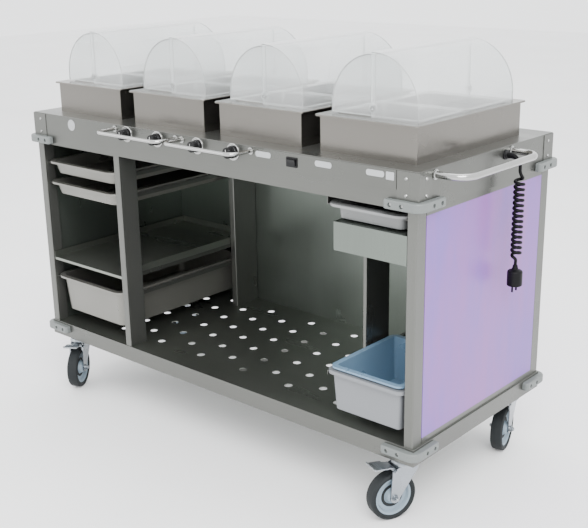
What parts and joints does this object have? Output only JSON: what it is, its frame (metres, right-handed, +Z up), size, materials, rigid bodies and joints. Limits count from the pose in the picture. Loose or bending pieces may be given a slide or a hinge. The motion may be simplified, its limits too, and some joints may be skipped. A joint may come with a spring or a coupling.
{
  "type": "food service trolley",
  "caption": "Wheeled stainless serving trolley with heated roll-top servers above open bays with sliding pans, a perforated deck, corner bumpers, swivel casters and a coiled mains cord",
  "frame": {"origin": "on the floor under the middle of the whole trolley, measured over the handle, bumpers and knob guards", "axes": "+X along the trolley towards the push handle, -Y towards the operator's side with the knobs, +Z up"},
  "size_m": [1.5054, 0.6924, 1.1179],
  "materials": {
    "stainless": "brushed stainless steel sheet",
    "polished_steel": "fine-polished stainless steel",
    "decor_panel": "lilac coated sheet with a faint streaked pattern",
    "grey_plastic": "light grey impact plastic",
    "pan_plastic": "pale grey food-grade plastic",
    "liner_plastic": "translucent blue-grey plastic",
    "clear_plastic": "clear acrylic",
    "black_plastic": "black moulded plastic",
    "white_plate": "white plastic plates",
    "zinc": "bright zinc plate",
    "hub_plastic": "blue-grey polyamide",
    "tyre": "grey non-marking rubber",
    "black_rubber": "black flexible cord jacket",
    "heater": "cast aluminium heating plate"
  },
  "bodies": {
    "chassis": {"worktop": "stainless", "aprons": "stainless", "corner_blocks": "stainless", "frame_posts": "stainless", "deck_skirt": "stainless", "deck_floor": "stainless", "deck_channels": "stainless", "bay_uprights": "stainless", "inner_panels": "stainless", "mid_shelf": "stainless", "runner_rails": "stainless", "junction_box": "stainless", "server_housings": "stainless", "server_pans": "stainless", "control_panel": "stainless", "knob_guards": "polished_steel", "push_handle": "polished_steel", "knob_bezels": "polished_steel", "frame_screws": "polished_steel", "decor_panels": "decor_panel", "corner_bumpers": "grey_plastic", "dome_fixed_halves": "clear_plastic", "switch_bezel": "black_plastic", "thermostats": "black_plastic", "label_plates": "white_plate", "heater_plates": "heater", "caster_plates": "zinc", "cable_gland": "black_rubber", "cord_tail": "black_rubber", "cord_coil": "black_rubber", "plug": "black_rubber"},
    "dome_1": {"dome_cover_1": "clear_plastic"},
    "dome_2": {"dome_cover_2": "clear_plastic"},
    "dome_3": {"dome_cover_3": "clear_plastic"},
    "dome_4": {"dome_cover_4": "clear_plastic"},
    "dial_1": {"knob_1": "black_plastic"},
    "dial_2": {"knob_2": "black_plastic"},
    "dial_3": {"knob_3": "black_plastic"},
    "dial_4": {"knob_4": "black_plastic"},
    "rocker": {"rocker_switch": "black_plastic"},
    "pan_upper": {"pan_upper": "stainless"},
    "pan_middle": {"pan_middle": "stainless"},
    "deep_bin": {"deep_bin": "stainless"},
    "side_tray": {"side_tray": "pan_plastic"},
    "waste_bin": {"waste_bin": "pan_plastic", "waste_bin_liner": "liner_plastic"},
    "fork_front_left": {"caster_fork_front_left": "zinc"},
    "wheel_front_left": {"caster_hub_front_left": "hub_plastic", "caster_tyre_front_left": "tyre"},
    "brake_front_left": {"brake_pedal_front_left": "zinc"},
    "fork_front_right": {"caster_fork_front_right": "zinc"},
    "wheel_front_right": {"caster_hub_front_right": "hub_plastic", "caster_tyre_front_right": "tyre"},
    "brake_front_right": {"brake_pedal_front_right": "zinc"},
    "fork_rear_left": {"caster_fork_rear_left": "zinc"},
    "wheel_rear_left": {"caster_hub_rear_left": "hub_plastic", "caster_tyre_rear_left": "tyre"},
    "fork_rear_right": {"caster_fork_rear_right": "zinc"},
    "wheel_rear_right": {"caster_hub_rear_right": "hub_plastic", "caster_tyre_rear_right": "tyre"}
  },
  "joints": [
    {"name": "dome_1_hinge", "type": "hinge", "parent": "chassis", "child": "dome_1", "pos_m": [-0.53725, 0.01475, 0.99], "axis": [0, 1, 0], "range_deg": [0, 88]},
    {"name": "dome_2_hinge", "type": "hinge", "parent": "chassis", "child": "dome_2", "pos_m": [-0.19925, 0.01475, 0.99], "axis": [0, 1, 0], "range_deg": [0, 88]},
    {"name": "dome_3_hinge", "type": "hinge", "parent": "chassis", "child": "dome_3", "pos_m": [0.13875, 0.01475, 0.99], "axis": [0, 1, 0], "range_deg": [0, 88]},
    {"name": "dome_4_hinge", "type": "hinge", "parent": "chassis", "child": "dome_4", "pos_m": [0.47675, 0.01475, 0.99], "axis": [0, 1, 0], "range_deg": [0, 88]},
    {"name": "knob_1_turn", "type": "hinge", "parent": "chassis", "child": "dial_1", "pos_m": [-0.30525, -0.27525, 0.858], "axis": [0, -1, 0], "range_deg": [-270, 0]},
    {"name": "knob_2_turn", "type": "hinge", "parent": "chassis", "child": "dial_2", "pos_m": [-0.18025, -0.27525, 0.858], "axis": [0, -1, 0], "range_deg": [-270, 0]},
    {"name": "knob_3_turn", "type": "hinge", "parent": "chassis", "child": "dial_3", "pos_m": [-0.02525, -0.27525, 0.858], "axis": [0, -1, 0], "range_deg": [-270, 0]},
    {"name": "knob_4_turn", "type": "hinge", "parent": "chassis", "child": "dial_4", "pos_m": [0.10375, -0.27525, 0.858], "axis": [0, -1, 0], "range_deg": [-270, 0]},
    {"name": "rocker_tilt", "type": "hinge", "parent": "chassis", "child": "rocker", "pos_m": [0.30075, -0.27395, 0.857], "axis": [1, 0, 0], "range_deg": [-14, 0]},
    {"name": "pan_upper_slide", "type": "slide", "parent": "chassis", "child": "pan_upper", "axis": [0, -1, 0], "range_m": [0, 0.4]},
    {"name": "pan_middle_slide", "type": "slide", "parent": "chassis", "child": "pan_middle", "axis": [0, -1, 0], "range_m": [0, 0.4]},
    {"name": "deep_bin_slide", "type": "slide", "parent": "chassis", "child": "deep_bin", "axis": [0, -1, 0], "range_m": [0, 0.4]},
    {"name": "side_tray_slide", "type": "slide", "parent": "chassis", "child": "side_tray", "axis": [0, -1, 0], "range_m": [0, 0.2]},
    {"name": "waste_bin_slide", "type": "slide", "parent": "chassis", "child": "waste_bin", "axis": [0, -1, 0], "range_m": [0, 0.24]},
    {"name": "swivel_front_left", "type": "hinge", "parent": "chassis", "child": "fork_front_left", "pos_m": [-0.67225, -0.21625, 0.15], "axis": [0, 0, 1], "continuous": true},
    {"name": "wheel_front_left_spin", "type": "hinge", "parent": "fork_front_left", "child": "wheel_front_left", "pos_m": [-0.65211, -0.24848, 0.0625], "axis": [0.848, 0.5299, 0], "continuous": true},
    {"name": "brake_front_left_press", "type": "hinge", "parent": "fork_front_left", "child": "brake_front_left", "pos_m": [-0.65264, -0.24763, 0.134], "axis": [0.848, 0.5299, 0], "range_deg": [0, 8]},
    {"name": "swivel_front_right", "type": "hinge", "parent": "chassis", "child": "fork_front_right", "pos_m": [0.60175, -0.21625, 0.15], "axis": [0, 0, 1], "continuous": true},
    {"name": "wheel_front_right_spin", "type": "hinge", "parent": "fork_front_right", "child": "wheel_front_right", "pos_m": [0.5869, -0.25123, 0.0625], "axis": [0.9205, -0.3907, 0], "continuous": true},
    {"name": "brake_front_right_press", "type": "hinge", "parent": "fork_front_right", "child": "brake_front_right", "pos_m": [0.58729, -0.25031, 0.134], "axis": [0.9205, -0.3907, 0], "range_deg": [0, 8]},
    {"name": "swivel_rear_left", "type": "hinge", "parent": "chassis", "child": "fork_rear_left", "pos_m": [-0.67225, 0.27375, 0.15], "axis": [0, 0, 1], "continuous": true},
    {"name": "wheel_rear_left_spin", "type": "hinge", "parent": "fork_rear_left", "child": "wheel_rear_left", "pos_m": [-0.67556, 0.23589, 0.0625], "axis": [0.9962, -0.0872, 0], "continuous": true},
    {"name": "swivel_rear_right", "type": "hinge", "parent": "chassis", "child": "fork_rear_right", "pos_m": [0.60175, 0.27375, 0.15], "axis": [0, 0, 1], "continuous": true},
    {"name": "wheel_rear_right_spin", "type": "hinge", "parent": "fork_rear_right", "child": "wheel_rear_right", "pos_m": [0.61094, 0.23688, 0.0625], "axis": [0.9703, 0.2419, 0], "continuous": true}
  ]
}
